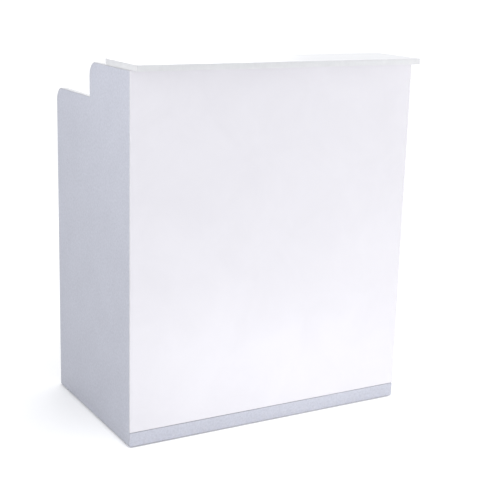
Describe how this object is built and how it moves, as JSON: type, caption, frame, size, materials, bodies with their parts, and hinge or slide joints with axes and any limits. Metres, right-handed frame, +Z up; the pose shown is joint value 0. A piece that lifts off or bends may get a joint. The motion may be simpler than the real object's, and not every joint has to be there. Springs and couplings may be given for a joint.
{
  "type": "checkout counter",
  "caption": "Retail checkout counter with stepped side panels, a narrow customer ledge, a lower work surface with a locking till drawer, and open storage behind.",
  "frame": {"origin": "middle of the object's box on the floor", "axes": "+Z up, -Y towards the customer, +X to the right seen from the customer side"},
  "size_m": [0.905, 0.586, 1.067],
  "materials": {
    "pebbled_melamine": "white melamine-faced board with a fine pebbled texture",
    "gloss_front": "smooth white satin-gloss laminate on thin board",
    "ledge_laminate": "smooth bright white laminate on board",
    "edge_band": "white plastic edge band, slightly greenish grey",
    "work_laminate": "fine-textured pale grey laminate",
    "drawer_board": "white foil-faced board",
    "hardboard": "white-painted hardboard",
    "beech": "unfinished beech",
    "zinc_steel": "zinc-plated steel",
    "satin_nickel": "satin nickel plate",
    "grey_plastic": "moulded grey plastic",
    "black_plastic": "fine-textured black plastic"
  },
  "bodies": {
    "cabinet": {"left_side_panel": "pebbled_melamine", "right_side_panel": "pebbled_melamine", "front_board": "pebbled_melamine", "toe_board": "pebbled_melamine", "kick_strip": "pebbled_melamine", "rear_toe_board": "pebbled_melamine", "bottom_deck": "pebbled_melamine", "mid_shelf": "pebbled_melamine", "centre_divider": "pebbled_melamine", "adjustable_shelf": "pebbled_melamine", "front_panel": "gloss_front", "customer_ledge": "ledge_laminate", "left_side_edge_band": "edge_band", "right_side_edge_band": "edge_band", "customer_ledge_edge_band": "edge_band", "bottom_deck_edge_band": "edge_band", "mid_shelf_edge_band": "edge_band", "work_surface_edge_band": "edge_band", "centre_divider_edge_band": "edge_band", "adjustable_shelf_edge_band": "edge_band", "work_surface": "work_laminate", "ledge_cleat": "beech", "ledge_dowel_left_front": "beech", "ledge_dowel_left_rear": "beech", "ledge_dowel_right_front": "beech", "ledge_dowel_right_rear": "beech", "left_slide_outer": "zinc_steel", "right_slide_outer": "zinc_steel", "lock_strike": "zinc_steel", "lock_strike_screw_left": "zinc_steel", "lock_strike_screw_right": "zinc_steel", "shelf_pin_left_front": "satin_nickel", "shelf_pin_left_rear": "satin_nickel", "shelf_pin_right_front": "satin_nickel", "shelf_pin_right_rear": "satin_nickel", "floor_glide_left_front": "grey_plastic", "floor_glide_left_rear": "grey_plastic", "floor_glide_right_front": "grey_plastic", "floor_glide_right_rear": "grey_plastic", "cable_grommet_liner": "black_plastic"},
    "till_drawer": {"drawer_front": "drawer_board", "drawer_left_side": "drawer_board", "drawer_right_side": "drawer_board", "drawer_back": "drawer_board", "drawer_bottom": "hardboard", "drawer_pull": "satin_nickel", "drawer_pull_screw_left": "zinc_steel", "drawer_pull_screw_right": "zinc_steel", "lock_body": "satin_nickel", "lock_nut": "zinc_steel", "left_slide_inner": "zinc_steel", "right_slide_inner": "zinc_steel"},
    "slide_middles": {"left_slide_middle": "zinc_steel", "right_slide_middle": "zinc_steel"},
    "lock_barrel": {"lock_plug": "satin_nickel", "lock_cam": "zinc_steel", "lock_cam_screw": "zinc_steel"},
    "grommet_cap": {"cable_grommet_cap": "black_plastic"}
  },
  "joints": [
    {"name": "drawer_slide", "type": "slide", "parent": "cabinet", "child": "till_drawer", "axis": [0, 1, 0], "range_m": [0, 0.36]},
    {"name": "slide_middle_travel", "type": "slide", "parent": "cabinet", "child": "slide_middles", "axis": [0, 1, 0], "range_m": [0, 0.18]},
    {"name": "lock_turn", "type": "hinge", "parent": "till_drawer", "child": "lock_barrel", "pos_m": [-0.21225, 0.257, 0.872], "axis": [0, 1, 0], "range_deg": [0, 90]},
    {"name": "grommet_cap_turn", "type": "hinge", "parent": "cabinet", "child": "grommet_cap", "pos_m": [0.3, -0.12, 0.914], "axis": [0, 0, 1], "continuous": true}
  ],
  "couplings": [
    {"joint": "slide_middle_travel", "follows": "drawer_slide", "ratio": 0.5}
  ]
}
